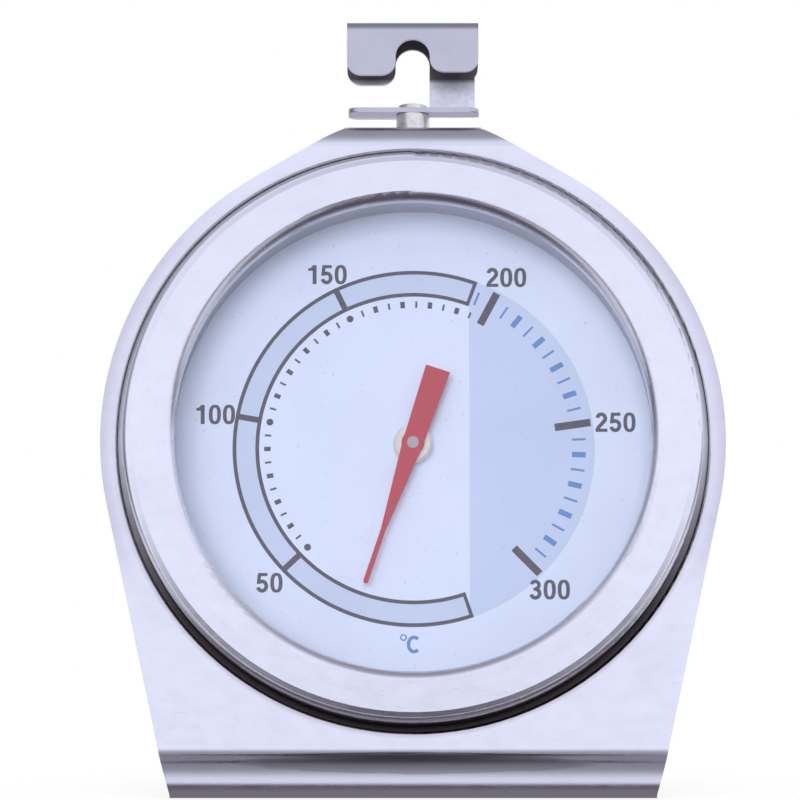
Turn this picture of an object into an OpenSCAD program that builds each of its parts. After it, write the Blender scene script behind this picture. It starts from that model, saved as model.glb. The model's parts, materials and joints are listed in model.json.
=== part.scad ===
// Stand-and-hang oven thermometer: a leaning sheet-steel stand that holds a crimped dial
// case, with a bimetal coil behind the dial, a needle on its shaft and a swivel hook on top.
// The row frame has +Z up and the dial facing -Y, with the origin at the middle of the base.

/* [Stand] */
// Backward lean of the dial plate, in degrees
lean = 11.5; // [8:0.5:14]
// Thickness of the stand's sheet
sheet_t = 0.6; // [0.5:0.05:0.7]
// Radius of the round plate
plate_r = 31.3; // [31.2:0.1:33]
// Height of the dial centre above the table
dial_h = 35.3; // [35.2:0.1:38]
// Depth of the whole stand, front to back
stand_depth = 35; // [33:0.5:40]
// Half width of the plate where it meets the rolled toe
foot_half_w = 25.05; // [24:0.05:27]
// Half width of the flat base
base_half_w = 23.9; // [22:0.1:24]
// Outer radius of the rolled toe
toe_r = 2.85; // [2.6:0.05:3]
// Height of the toe's roll centre above the table
toe_h = 1.14; // [1.1:0.02:1.3]
// Radius of the hollow bend where the plate runs into the toe
crease_r = 1.2; // [0.8:0.1:1.4]
// Outer radius of the tight bend under the toe
heel_r = 0.8; // [0.75:0.05:1]
// Corner radius at the back of the base
base_corner_r = 5; // [2:0.5:8]

/* [Hook tab] */
// Half width of the tab that folds back at the top
tab_half_w = 6.95; // [6.9:0.05:7.2]
// Height of the tab's upper face above the dial centre
tab_top = 32.63; // [32.5:0.01:33]
// Outer radius of the tab's bend
tab_bend_r = 2.5; // [2.2:0.1:2.8]
// Length of the tab behind the plate's front face
tab_depth = 9.5; // [9:0.1:11]
// Height above the dial centre where the plate's sloping sides reach the tab's width
neck_u = 32.25; // [32:0.05:32.5]

/* [Dial case] */
// Outer radius of the bezel
bezel_r = 28.95; // [28.7:0.05:29]
// Radius of the bezel's opening
bezel_open_r = 23.8; // [23.5:0.1:24.3]
// Thickness of the bezel's sheet
bezel_t = 0.5; // [0.4:0.05:0.5]
// Height of the bezel's rolled inner edge above the plate
bezel_crown = 2.6; // [2.4:0.1:3]
// Height of the bezel's outer corner above the plate
bezel_edge = 2.5; // [2:0.05:2.5]
// Front of the lens above the plate
lens_front = 1.5; // [1.4:0.05:1.5]
// Thickness of the lens
lens_t = 2; // [1.8:0.1:2.2]
// Depth of the printed dial behind the plate's front face
dial_depth = 4.65; // [4.4:0.05:5]
// Thickness of the case's sheet
case_t = 0.4; // [0.3:0.05:0.4]
// Depth of the case's floor behind the plate's front face
case_depth = 11.4; // [11:0.1:12]

/* [Bimetal movement] */
// Radius of the needle's shaft
shaft_r = 0.6; // [0.5:0.05:0.6]
// Radial running clearance of the shaft and the hook
running_gap = 0.04; // [0.02:0.01:0.08]
// Height of the front bush above the dial
bush_h = 1.2; // [1:0.1:1.3]
// Number of turns in the bimetal coil
coil_turns = 4.5; // [3.5:0.5:5.5]
// Thickness of the bimetal strip
coil_t = 0.3; // [0.25:0.05:0.35]
// Width of the bimetal strip
coil_w = 4.4; // [4:0.1:4.6]
// Outer radius of the coil's housing
housing_r = 10.6; // [10.5:0.1:11]
// Depth of the housing's back behind the plate's front face
housing_depth = 16.8; // [16.5:0.1:17.5]

/* [Needle] */
// Angle of the needle at rest, counter-clockwise from 3 o'clock
needle_angle = 251.5; // [224:0.5:270]
// Length from the pivot to the tip
needle_len = 15.1; // [14:0.1:15.5]
// Length from the pivot to the blunt end
tail_len = 8; // [7:0.1:9]

/* [Hook] */
// Half width of the hook
hook_half_w = 6.73; // [6.5:0.01:6.9]
// Height of the hook's top above the dial centre, along the plate
hook_top = 44.04; // [43.8:0.01:44.4]
// Thickness of the hook's strip
hook_t = 0.5; // [0.4:0.05:0.5]
// Distance from the hook's front face to its back face
hook_depth = 4.4; // [4.2:0.1:4.6]
// Radius of the notch that takes a rack wire
notch_r = 1.75; // [1.6:0.05:1.9]
// Depth of the swivel axis behind the plate's front face
swivel_depth = 5.5; // [5.3:0.1:5.8]
// Radius of the shoulder rivet's stem
stem_r = 1.7; // [1.5:0.05:1.8]
// Height of the stem between the tab and the hook
stem_h = 2.1; // [2:0.05:2.4]

/* [Hidden] */
$fn = 96;

// Steel, brass and paint tones
steel = [0.83, 0.84, 0.88];
dark_steel = [0.62, 0.62, 0.66];
brass = [0.78, 0.70, 0.55];
needle_red = [0.76, 0.16, 0.18];

// Toe: the plate's front face would meet the roll's top at the crease, seen from the dial
// centre. A hollow bend rounds it, and touches the plate crease_s above it.
toe_drop = dial_h - toe_h - toe_r;
crease_u = -toe_drop / cos(lean);
crease_y = crease_u * sin(lean);
crease_s = sqrt(pow(toe_r * cos(lean), 2) + 2 * toe_r * crease_r * (1 - sin(lean)))
    - toe_r * cos(lean);
hollow = [crease_s * sin(lean) - crease_r * cos(lean),
          crease_s * cos(lean) + crease_r * sin(lean)];
roll_start = atan2(hollow[1] + toe_r, hollow[0]);
foot_lap = 0.5;
plate_low = crease_u + crease_s + foot_lap;
base_u = -dial_h / cos(lean);
heel_e = asin((toe_h - heel_r) / (toe_r - heel_r));
heel_y = crease_y - (toe_r - heel_r) * cos(heel_e);

// The toe sits a hair behind the plate's faces, so that no two faces share a plane
foot_step = 0.005;
dial_y = toe_r - crease_y - foot_step - stand_depth / 2;
foot_y = dial_y + foot_step;

// Case stack, from the lens back to the seat that is pressed into the stand
gasket_t = 0.3;
flange_front = lens_front - lens_t - gasket_t;
seat_n = flange_front - case_t - bezel_t;
recess_r = bezel_r + 0.6;
recess_t = sheet_t - 0.15;
edge_round = 0.3;
tab_lap = 0.15;
case_r = bezel_r - 2.25;
seat_hole_r = case_r + 0.25;
lens_r = bezel_r - 0.75;
lens_chamfer = 0.3;
flange_r = bezel_r - 0.65;
bezel_bend = 1;
bezel_corner = 0.5;
shoulder_w = 0.5;
shoulder_drop = 0.1;
crimp_bend = 0.6;
crimp_lip = 1.7;
ring_t = 0.5;
tooth_count = 12;
tooth_w = 3;

// Inside the case
dial_t = 0.4;
dial_r = case_r - case_t - 0.1;
shoulder_n = -dial_depth - dial_t;
spacer_r = bezel_open_r + 0.4;
waist_r = case_r - 1.9;
case_bend = 1.2;
floor_hole_r = 9.85;

// Movement, along the shaft
bush_r = 1.95;
bush_chamfer = 0.25;
spigot_r = 1.4;
spigot_back = -7;
nut_flats = 5;
nut_t = 1.1;
bush_top = bush_h - dial_depth;
needle_back = bush_top + 0.1;
needle_t = 0.3;
shaft_tip = needle_back + needle_t + 0.1;
coil_front = 1.5 - case_depth;
coil_back = coil_front - coil_w;
coil_start = 40;
coil_steps = 24;
coil_out_r = 8;
hub_r = 1.5;
slot_gap = 0.02;
coil_in_r = hub_r + coil_t / 2 + 0.05;
anchor_r = 8.9;
anchor_post_r = 0.8;
pivot_r = 0.4;
pivot_len = 0.9;

// Housing behind the case
housing_t = 0.4;
housing_floor = housing_t - housing_depth;
housing_bend = 1.2;
housing_flange_r = 13.9;
rivet_ring_r = 12.2;
rivet_count = 3;
rivet_r = 0.6;
rivet_head_r = 1.1;
rivet_head_h = 0.5;
vent_count = 6;
vent_w = 1.6;
vent_r = [4.4, 8.4];
side_vent_count = 8;
side_vent_w = 3;
side_vent_h = 1.6;
rear_spigot_r = 1.6;
rear_flange_r = 2.5;
rear_flange_h = 0.7;

// Hook, measured up the plate from the dial centre
hook_under = tab_top + stem_h;
lobe_low = [38.3, 38.62];
notch_u = 40.35;
lobe_corner = 1.5;
hook_bend = 1;
web_bend = 0.9;
strip_depth = 3;
strip_x = [-6.58, 6.79];
strip_corner = 1;
web_x = [notch_r, 6.4];
hook_back = -swivel_depth - 1.4;
hook_front = hook_back + hook_depth;

// Shoulder rivet
tenon_r = 0.95;
head_r = 1.5;
head_side = 0.4;
head_h = 0.3;
tail_h = 0.5;
end_play = 0.04;
washer_r = 2.5;
washer_t = 0.4;

// Plate frame: x to the right, y up the plate, z out of the plate's front face
module on_dial() {
    translate([0, dial_y, dial_h]) rotate([90 - lean, 0, 0]) children();
}

// A profile drawn as (up the plate, out of the plate), run from x0 to x1
module across(x0, x1) {
    rotate([90, 0, 90]) translate([0, 0, x0]) linear_extrude(x1 - x0) children();
}

// A plan drawn as (x, out of the plate), run up the plate from u0 to u1
module up_plate(u0, u1) {
    translate([0, u1, 0]) rotate([90, 0, 0]) linear_extrude(u1 - u0) children();
}

// An outline in the plate's plane, from depth n0 to n1
module slab(n0, n1) {
    translate([0, 0, n0]) linear_extrude(n1 - n0) children();
}

// The swivel's axis, with z up the plate from the dial centre's height
module on_swivel() {
    translate([0, 0, -swivel_depth]) rotate([-90, 0, 0]) children();
}

// Section of a bent sheet of outer radius r, from angle a0 to a1
module bend(r, t, a0, a1) {
    reach = 3 * r;
    mid = (a0 + a1) / 2;
    intersection() {
        difference() {
            circle(r);
            if (t < r) circle(r - t);
        }
        polygon([[0, 0], reach * [cos(a0), sin(a0)], reach * [cos(mid), sin(mid)],
                 reach * [cos(a1), sin(a1)]]);
    }
}

// Core of a sheet t thick across the end of a bend, so that it is one sheet with its neighbour
module seam(t, angle, inner_r) {
    core = t / 2;
    rotate(angle) translate([inner_r + core / 2, -core / 2]) square(core);
}

// Section of a flat dome that stands on y = 0
module dome(r, h) {
    ball = (r * r + h * h) / (2 * h);
    intersection() {
        translate([0, h - ball]) circle(ball);
        square([r, h]);
    }
}

// Where a line through the outside point p touches the round plate
function touch(p, side) =
    let (a = atan2(p[1], p[0]) + side * acos(plate_r / norm(p)))
    plate_r * [cos(a), sin(a)];

function flip(p) = [-p[0], p[1]];

// The round plate runs out in straight lines to the tab above and the foot below
module plate_outline() {
    foot = [foot_half_w, crease_u];
    foot_touch = touch(foot, 1);
    circle(plate_r);
    tab_outline();
    polygon([[0, 0], foot_touch, foot, flip(foot), flip(foot_touch)]);
}

// The sloping sides run on through the tab's bend
module tab_outline() {
    neck = [tab_half_w, neck_u];
    low = touch(neck, -1);
    high = [tab_half_w, tab_top + 1];
    polygon([[0, 0], low, neck, high, flip(high), flip(neck), flip(low)]);
}

module stand_plate() {
    bend_u = tab_top - tab_bend_r;
    slab(-sheet_t, 0) difference() {
        plate_outline();
        circle(recess_r + edge_round);
        translate([-plate_r, bend_u]) square([2 * plate_r, plate_r]);
        translate([-plate_r, plate_low - plate_r]) square([2 * plate_r, plate_r]);
    }
    // Recess pressed into the plate, with a rounded rim and a flat seat
    rotate_extrude() {
        translate([seat_hole_r, seat_n - recess_t]) square([recess_r - seat_hole_r, recess_t]);
        translate([recess_r, seat_n]) bend(recess_t, recess_t, -90, 0);
        translate([recess_r, seat_n]) square([recess_t, -seat_n - edge_round]);
        translate([recess_r + edge_round, -edge_round]) bend(edge_round, edge_round, 90, 180);
        translate([recess_r + edge_round, -sheet_t]) square([recess_t - edge_round, sheet_t]);
    }
    intersection() {
        across(-plate_r, plate_r) {
            translate([bend_u - tab_lap, -sheet_t]) square([tab_lap, sheet_t]);
            translate([bend_u, -tab_bend_r]) bend(tab_bend_r, sheet_t, 0, 90);
        }
        slab(-tab_depth, 1) tab_outline();
    }
    difference() {
        across(-tab_half_w, tab_half_w) translate([tab_top - sheet_t, -tab_depth])
            square([sheet_t, tab_depth - tab_bend_r]);
        on_swivel() cylinder(r = tenon_r, h = 2 * tab_top);
    }
}

// Section of the hollow bend, the rolled toe and the heel, from the dial centre
module toe_section() {
    up = [sin(lean), cos(lean)];
    back = sheet_t * [cos(lean), -sin(lean)];
    low = crease_s * up;
    high = (crease_s + 2 * foot_lap) * up;
    translate([crease_y, -toe_drop]) {
        polygon([low, low + back, high + back, high]);
        translate(hollow) bend(crease_r + sheet_t, sheet_t, roll_start - 180, -lean);
        translate(hollow) seam(sheet_t, -lean, crease_r);
        translate([0, -toe_r]) bend(toe_r, sheet_t, roll_start, 180 + heel_e);
        translate([0, -toe_r]) seam(sheet_t, roll_start, toe_r - sheet_t);
    }
    translate([heel_y, heel_r - dial_h]) bend(heel_r, sheet_t, 180 + heel_e, 270);
    translate([heel_y, -dial_h]) square(sheet_t);
}

// The foot's sides run on from the plate's, straight down to the base
module toe_outline() {
    foot = [foot_half_w, crease_u];
    foot_touch = touch(foot, 1);
    base = [base_half_w, base_u];
    low = [base_half_w, 2 * base_u];
    polygon([foot_touch, foot, base, low, flip(low), flip(base), flip(foot),
             flip(foot_touch)]);
}

module stand_foot() {
    intersection() {
        translate([-stand_depth, foot_y, dial_h]) rotate([90, 0, 90])
            linear_extrude(2 * stand_depth) toe_section();
        on_dial() slab(-stand_depth, stand_depth) toe_outline();
    }
    front = foot_y + heel_y;
    back = stand_depth / 2;
    side = base_half_w - base_corner_r;
    linear_extrude(sheet_t) {
        translate([-base_half_w, front])
            square([2 * base_half_w, back - base_corner_r - front]);
        translate([-side, back - 2 * base_corner_r]) square([2 * side, 2 * base_corner_r]);
        for (x = [-side, side]) translate([x, back - base_corner_r]) circle(base_corner_r);
    }
}

module stand_frame() {
    color(steel) {
        on_dial() stand_plate();
        stand_foot();
    }
}

module bezel_ring() {
    lip_r = bezel_open_r + bezel_bend;
    corner_r = bezel_r - bezel_corner;
    corner_n = bezel_edge - shoulder_drop;
    shoulder_r = corner_r - shoulder_w;
    color(steel) on_dial() rotate_extrude() {
        translate([lip_r, bezel_crown - bezel_bend]) {
            bend(bezel_bend, bezel_t, 90, 180);
            seam(bezel_t, 90, bezel_bend - bezel_t);
        }
        translate([bezel_open_r, lens_front])
            square([bezel_t, bezel_crown - bezel_bend - lens_front]);
        polygon([[lip_r, bezel_crown], [lip_r, bezel_crown - bezel_t],
                 [shoulder_r, bezel_edge - bezel_t], [corner_r, corner_n - bezel_t],
                 [corner_r, corner_n], [shoulder_r, bezel_edge]]);
        translate([corner_r, corner_n - bezel_corner]) {
            bend(bezel_corner, bezel_t, 0, 90);
            seam(bezel_t, 90, bezel_corner - bezel_t);
        }
        translate([bezel_r - bezel_t, seat_n + crimp_bend])
            square([bezel_t, corner_n - bezel_corner - seat_n - crimp_bend]);
        translate([bezel_r - crimp_bend, seat_n + crimp_bend])
            bend(crimp_bend, bezel_t, -90, 0);
        translate([bezel_r - crimp_lip, seat_n])
            square([crimp_lip - crimp_bend, bezel_t]);
    }
}

module lens() {
    back = lens_front - lens_t;
    color("aliceblue", 0.35) on_dial() rotate_extrude()
        polygon([[0, back], [lens_r, back], [lens_r, lens_front - lens_chamfer],
                 [lens_r - lens_chamfer, lens_front], [0, lens_front]]);
}

module lens_gasket() {
    color("gainsboro") on_dial() slab(flange_front, lens_front - lens_t) difference() {
        circle(flange_r);
        circle(case_r + 0.1);
    }
}

module spacer_ring() {
    color(steel) on_dial() slab(-dial_depth, lens_front - lens_t) difference() {
        circle(dial_r);
        circle(spacer_r);
    }
}

module dial_plate() {
    color("ghostwhite") on_dial() slab(shoulder_n, -dial_depth) difference() {
        circle(dial_r);
        circle(spigot_r);
    }
}

module case_cup() {
    wall_r = case_r - case_t;
    color(dark_steel) on_dial() difference() {
        rotate_extrude() {
            translate([wall_r, flange_front - case_t]) square([flange_r - wall_r, case_t]);
            translate([wall_r, shoulder_n - case_t])
                square([case_t, flange_front - shoulder_n + case_t]);
            translate([waist_r - case_t, shoulder_n - case_t])
                square([case_r - waist_r, case_t]);
            translate([waist_r - case_t, case_bend - case_depth])
                square([case_t, case_depth - case_bend + shoulder_n]);
            translate([waist_r - case_bend, case_bend - case_depth])
                bend(case_bend, case_t, -90, 0);
            translate([floor_hole_r, -case_depth])
                square([waist_r - case_bend - floor_hole_r, case_t]);
        }
        at_rivets() translate([0, 0, -case_depth - 1]) cylinder(r = rivet_r, h = 3);
    }
}

module at_rivets() {
    for (i = [0 : rivet_count - 1])
        rotate(90 + 360 / rivet_count * i) translate([rivet_ring_r, 0]) children();
}

module retaining_ring() {
    front = seat_n - recess_t;
    rim_r = case_r + 1.1;
    color(dark_steel) on_dial() slab(front - ring_t, front) {
        difference() {
            circle(bezel_r + 0.35);
            circle(rim_r);
        }
        difference() {
            for (i = [0 : tooth_count - 1]) rotate(360 / tooth_count * i)
                translate([0, -tooth_w / 2]) square([rim_r + 0.2, tooth_w]);
            circle(case_r + slot_gap);
        }
    }
}

module coil_housing() {
    wall_r = housing_r - housing_t;
    lip_n = -case_depth - housing_t;
    color(dark_steel) on_dial() difference() {
        rotate_extrude() {
            translate([wall_r, lip_n]) square([housing_flange_r - wall_r, housing_t]);
            translate([wall_r, housing_bend - housing_depth])
                square([housing_t, housing_depth - housing_bend + lip_n]);
            translate([housing_r - housing_bend, housing_bend - housing_depth])
                bend(housing_bend, housing_t, -90, 0);
            translate([rear_spigot_r, -housing_depth])
                square([housing_r - housing_bend - rear_spigot_r, housing_t]);
        }
        at_rivets() translate([0, 0, lip_n - 1]) cylinder(r = rivet_r, h = 3);
        for (i = [0 : vent_count - 1]) rotate(360 / vent_count * i)
            translate([vent_r[0], -vent_w / 2, -housing_depth - 1])
                cube([vent_r[1] - vent_r[0], vent_w, 2]);
        for (i = [0 : side_vent_count - 1]) rotate(360 / side_vent_count * (i + 0.5))
            translate([wall_r - 1, -side_vent_w / 2, -housing_depth + 2])
                cube([3, side_vent_w, side_vent_h]);
    }
}

module housing_rivets() {
    back = -case_depth - housing_t;
    front = case_t - case_depth;
    color("gainsboro") on_dial() at_rivets() rotate_extrude() {
        translate([0, back]) square([rivet_r, front - back]);
        translate([0, front]) dome(rivet_head_r, rivet_head_h);
        translate([0, back]) mirror([0, 1]) dome(rivet_head_r, rivet_head_h);
    }
}

module front_bush() {
    bore_r = shaft_r + running_gap;
    color(brass) on_dial() rotate_extrude()
        polygon([[bore_r, spigot_back], [spigot_r, spigot_back], [spigot_r, -dial_depth],
                 [bush_r, -dial_depth], [bush_r, bush_top - bush_chamfer],
                 [bush_r - bush_chamfer, bush_top], [bore_r, bush_top]]);
}

module bush_nut() {
    color(brass) on_dial() slab(shoulder_n - nut_t, shoulder_n) difference() {
        circle(r = nut_flats / sqrt(3), $fn = 6);
        circle(spigot_r);
    }
}

module rear_bush() {
    bore_r = pivot_r + running_gap;
    color(brass) on_dial() rotate_extrude() {
        translate([bore_r, housing_floor])
            square([rear_flange_r - bore_r, rear_flange_h]);
        translate([bore_r, -housing_depth]) square([rear_spigot_r - bore_r, housing_t]);
        translate([0, -housing_depth - housing_t])
            square([rear_spigot_r, housing_t]);
    }
}

// The spiral's middle line runs from the hub's slot out to the anchor post
function coil_radius(i) =
    coil_in_r + (coil_out_r - coil_in_r) * i / (coil_steps * coil_turns);
function coil_point(i, side) =
    (coil_radius(i) + side * coil_t / 2) * [cos(360 * i / coil_steps), sin(360 * i / coil_steps)];

module bimetal_coil() {
    last = coil_steps * coil_turns;
    color("darkgoldenrod") on_dial() rotate(coil_start) slab(coil_back, coil_front) {
        polygon(concat([for (i = [0 : last]) coil_point(i, 1)],
                       [for (i = [last : -1 : 0]) coil_point(i, -1)]));
        translate([shaft_r + 0.2, -coil_t / 2]) square([coil_in_r - shaft_r - 0.2, coil_t]);
        rotate(360 * coil_turns) translate([coil_out_r, -coil_t / 2])
            square([anchor_r + 0.3 - coil_out_r, coil_t]);
    }
}

module coil_anchor() {
    slot = coil_t / 2 + slot_gap;
    color(brass) on_dial() rotate(coil_start + 360 * coil_turns)
        translate([anchor_r, 0]) slab(housing_floor, coil_front + 0.2) difference() {
            circle(anchor_post_r);
            translate([-anchor_post_r, -slot])
                square([anchor_post_r + 0.3 + slot_gap, 2 * slot]);
        }
}

module coil_hub() {
    color(brass) on_dial() rotate(coil_start) slab(coil_back - 0.3, coil_front + 0.3)
        difference() {
            circle(hub_r);
            circle(shaft_r);
            translate([shaft_r + 0.18, -coil_t / 2 - slot_gap])
                square([hub_r, coil_t + 2 * slot_gap]);
        }
}

module pointer_shaft() {
    pivot_front = housing_floor + rear_flange_h + 0.1;
    color(brass) on_dial() rotate_extrude() {
        translate([0, pivot_front]) square([shaft_r, shaft_tip - pivot_front]);
        translate([0, pivot_front - pivot_len]) square([pivot_r, pivot_len]);
    }
}

// One edge of the needle, from the blunt end past the eye to the rounded tip
function needle_edge() =
    let (tail_half = 1.27, tip_half = 0.25, eye_r = 1.15, taper = 9.3,
         tip = needle_len - tip_half)
    concat([[-tail_len, tail_half]],
           [for (a = [115 : -11 : 60]) eye_r * [cos(a), sin(a)]],
           [[taper, tip_half]],
           [for (a = [90 : -18 : 0]) [tip, 0] + tip_half * [cos(a), sin(a)]]);

module pointer() {
    edge = needle_edge();
    color(needle_red) on_dial() rotate(needle_angle)
        slab(needle_back, needle_back + needle_t) difference() {
            polygon(concat(edge, [for (i = [len(edge) - 2 : -1 : 0]) [edge[i][0], -edge[i][1]]]));
            circle(shaft_r);
        }
}

// One leg of the hook: two rounded lobes with the rack notch between them
module leg_outline() {
    sides = [[-hook_half_w, -notch_r, lobe_low[0]], [notch_r, hook_half_w, lobe_low[1]]];
    difference() {
        translate([-hook_half_w, notch_u])
            square([2 * hook_half_w, hook_top - hook_bend - notch_u]);
        translate([0, notch_u]) circle(notch_r);
    }
    for (s = sides) {
        translate([s[0], s[2] + lobe_corner])
            square([s[1] - s[0], notch_u - s[2] - lobe_corner]);
        translate([s[0] + lobe_corner, s[2]])
            square([s[1] - s[0] - 2 * lobe_corner, lobe_corner]);
        for (x = [s[0] + lobe_corner, s[1] - lobe_corner])
            translate([x, s[2] + lobe_corner]) circle(lobe_corner);
    }
}

module hook_strip() {
    length = strip_x[1] - strip_x[0];
    inner = strip_depth - 2 * strip_corner;
    difference() {
        up_plate(hook_under, hook_under + hook_t) difference() {
            union() {
                translate([strip_x[0] + strip_corner, hook_back])
                    square([length - 2 * strip_corner, strip_depth]);
                translate([strip_x[0], hook_back + strip_corner]) square([length, inner]);
                for (x = [strip_x[0] + strip_corner, strip_x[1] - strip_corner])
                    for (n = [strip_corner, strip_depth - strip_corner])
                        translate([x, hook_back + n]) circle(strip_corner);
            }
            translate([web_x[0], hook_back - 1])
                square([length, web_bend + 1]);
        }
        on_swivel() cylinder(r = tenon_r + running_gap, h = 2 * tab_top);
    }
}

module hook_bracket() {
    over = hook_top - hook_bend;
    color(steel) on_dial() {
        slab(hook_front - hook_t, hook_front) leg_outline();
        slab(hook_back, hook_back + hook_t) {
            leg_outline();
            translate([web_x[0], hook_under + web_bend])
                square([web_x[1] - web_x[0], notch_u - hook_under - web_bend]);
        }
        across(-hook_half_w, hook_half_w) {
            translate([over, hook_front - hook_bend]) bend(hook_bend, hook_t, 0, 90);
            translate([over, hook_back + hook_bend]) bend(hook_bend, hook_t, -90, 0);
            translate([hook_top - hook_t, hook_back + hook_bend])
                square([hook_t, hook_depth - 2 * hook_bend]);
        }
        across(web_x[0], web_x[1]) translate([hook_under + web_bend, hook_back + web_bend])
            bend(web_bend, hook_t, 180, 270);
        hook_strip();
    }
}

module hook_rivet() {
    seat = hook_under - end_play;
    head = hook_under + hook_t + end_play;
    tail = tab_top - sheet_t - washer_t;
    color(brass) on_dial() on_swivel() rotate_extrude() {
        translate([0, tab_top]) square([stem_r, seat - tab_top]);
        translate([0, tail]) square([tenon_r, head - tail]);
        translate([0, head]) square([head_r, head_side]);
        translate([0, head + head_side]) dome(head_r, head_h);
        translate([0, tail]) mirror([0, 1]) dome(head_r, tail_h);
    }
}

module rivet_washer() {
    top = tab_top - sheet_t;
    color("gainsboro") on_dial() on_swivel() slab(top - washer_t, top) difference() {
        circle(washer_r);
        circle(tenon_r);
    }
}

stand_frame();
bezel_ring();
lens();
lens_gasket();
spacer_ring();
dial_plate();
case_cup();
retaining_ring();
coil_housing();
housing_rivets();
front_bush();
bush_nut();
rear_bush();
bimetal_coil();
coil_anchor();
coil_hub();
pointer_shaft();
pointer();
hook_bracket();
hook_rivet();
rivet_washer();
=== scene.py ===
"""Looks of the oven thermometer: finishes, printed dial, softened sheet edges, light and camera."""
import json
import math

import bmesh
import bpy
from mathutils import Matrix, Vector
from mathutils.geometry import delaunay_2d_cdt

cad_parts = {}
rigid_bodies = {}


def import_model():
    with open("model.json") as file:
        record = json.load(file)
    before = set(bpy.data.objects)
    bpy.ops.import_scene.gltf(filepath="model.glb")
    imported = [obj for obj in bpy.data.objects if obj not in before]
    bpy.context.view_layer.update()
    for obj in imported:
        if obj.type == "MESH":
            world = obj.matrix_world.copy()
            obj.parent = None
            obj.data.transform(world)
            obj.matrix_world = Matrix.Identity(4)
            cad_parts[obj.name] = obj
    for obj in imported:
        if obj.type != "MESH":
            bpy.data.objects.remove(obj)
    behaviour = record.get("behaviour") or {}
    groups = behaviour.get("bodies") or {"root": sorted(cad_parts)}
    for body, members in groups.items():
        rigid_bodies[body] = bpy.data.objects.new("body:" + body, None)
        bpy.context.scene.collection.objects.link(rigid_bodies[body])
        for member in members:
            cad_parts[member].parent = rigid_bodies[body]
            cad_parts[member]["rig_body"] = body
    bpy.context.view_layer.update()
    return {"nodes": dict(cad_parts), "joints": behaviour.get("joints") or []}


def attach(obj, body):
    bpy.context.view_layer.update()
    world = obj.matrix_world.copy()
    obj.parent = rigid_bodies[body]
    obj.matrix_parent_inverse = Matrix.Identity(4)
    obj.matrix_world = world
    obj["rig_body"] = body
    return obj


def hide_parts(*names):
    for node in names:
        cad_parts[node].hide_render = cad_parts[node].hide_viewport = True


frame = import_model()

MM = 0.001

# Dial frame, from the needle's joint: X to the right, UP along the plate, OUT of the dial
NEEDLE = next(j for j in frame["joints"] if j["name"] == "needle_turn")
CENTRE = Vector(NEEDLE["pos_m"])
OUT = -Vector(NEEDLE["axis"]).normalized()
ACROSS = Vector((1, 0, 0))
UP = OUT.cross(ACROSS)
DIAL_TURN = Matrix((ACROSS, UP, OUT)).transposed()


def dial_point(x, u, n):
    """A point given in millimetres in the dial frame, in metres in the row frame."""
    return CENTRE + (ACROSS * x + UP * u + OUT * n) * MM


def depths_of(node):
    """How far the vertices of a CAD node lie out of the dial frame's plane, in millimetres."""
    return [(v.co - CENTRE).dot(OUT) / MM for v in frame["nodes"][node].data.vertices]


def radius_of(node):
    """The largest distance of a CAD node from the dial's axis, in millimetres."""
    vertices = frame["nodes"][node].data.vertices
    return max((v.co - CENTRE).cross(OUT).length for v in vertices) / MM


# Places on the steel, in millimetres in the dial frame
DIAL_FACE = max(depths_of("dial_plate"))
HOOK_BACK = min(depths_of("hook_bracket"))
BEZEL_R = radius_of("bezel_ring")
GROOVE_R = BEZEL_R + 0.75
GROOVE_FLOOR = min(depths_of("bezel_ring"))
FOLD_U = 38.4
CREASE_U = -31.9
PLATE_R = 31.3
# Sizes of the painted shadow beside the groove, the painted shade at the plate's rim and the
# painted dark reflection on the foot
SHADOW_HALO_WIDTH = 0.6
RIM_SHADE_WIDTH = 1.6
REFLECTION_DROP = 1.0
REFLECTION_HALF_LENGTH = 17.5
REFLECTION_HALF_HEIGHT = 1.15


# ---------------------------------------------------------------- nodes


def add(tree, kind, inputs=None, **settings):
    """Adds a shader node, sets its settings, and sets or links its inputs."""
    made = tree.nodes.new("ShaderNode" + kind)
    for key, value in settings.items():
        setattr(made, key, value)
    for key, value in (inputs or {}).items():
        if isinstance(value, bpy.types.NodeSocket):
            tree.links.new(value, made.inputs[key])
        else:
            made.inputs[key].default_value = value
    return made


def math_node(tree, operation, a, b=0.0, clamp=False):
    return add(tree, "Math", {0: a, 1: b}, operation=operation, use_clamp=clamp).outputs[0]


def ramp(tree, factor, stops):
    """A colour ramp through (position, grey or colour) stops."""
    made = add(tree, "ValToRGB", {"Fac": factor})
    elements = made.color_ramp.elements
    while len(elements) < len(stops):
        elements.new(0.5)
    for element, (position, shade) in zip(elements, stops):
        element.position = position
        element.color = (*shade, 1) if hasattr(shade, "__len__") else (shade, shade, shade, 1)
    return made.outputs["Color"]


def mix_colour(tree, factor, a, b, blend="MIX"):
    made = add(tree, "Mix", data_type="RGBA", blend_type=blend)
    for socket, value in ((0, factor), (6, a), (7, b)):
        if isinstance(value, bpy.types.NodeSocket):
            tree.links.new(value, made.inputs[socket])
        elif socket == 0:
            made.inputs[0].default_value = value
        else:
            made.inputs[socket].default_value = (*value, 1)
    return made.outputs[2]


def remap(tree, value, low, high, to_low, to_high):
    keys = {"Value": value, "From Min": low, "From Max": high, "To Min": to_low, "To Max": to_high}
    return add(tree, "MapRange", keys).outputs["Result"]


def noise(tree, vector, scale, detail=3.0, roughness=0.5):
    keys = {"Vector": vector, "Scale": scale, "Detail": detail, "Roughness": roughness}
    return add(tree, "TexNoise", keys).outputs["Fac"]


def stretched(tree, vector, scale):
    return add(tree, "Mapping", {"Vector": vector, "Scale": scale}).outputs[0]


def dial_mm(tree):
    """The shaded point in the dial frame, in millimetres."""
    place = add(tree, "TexCoord").outputs["Object"]
    keys = {
        "Vector": place,
        "Location": CENTRE,
        "Rotation": DIAL_TURN.to_euler(),
        "Scale": (MM, MM, MM),
    }
    return add(tree, "Mapping", keys, vector_type="TEXTURE").outputs[0]


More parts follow.
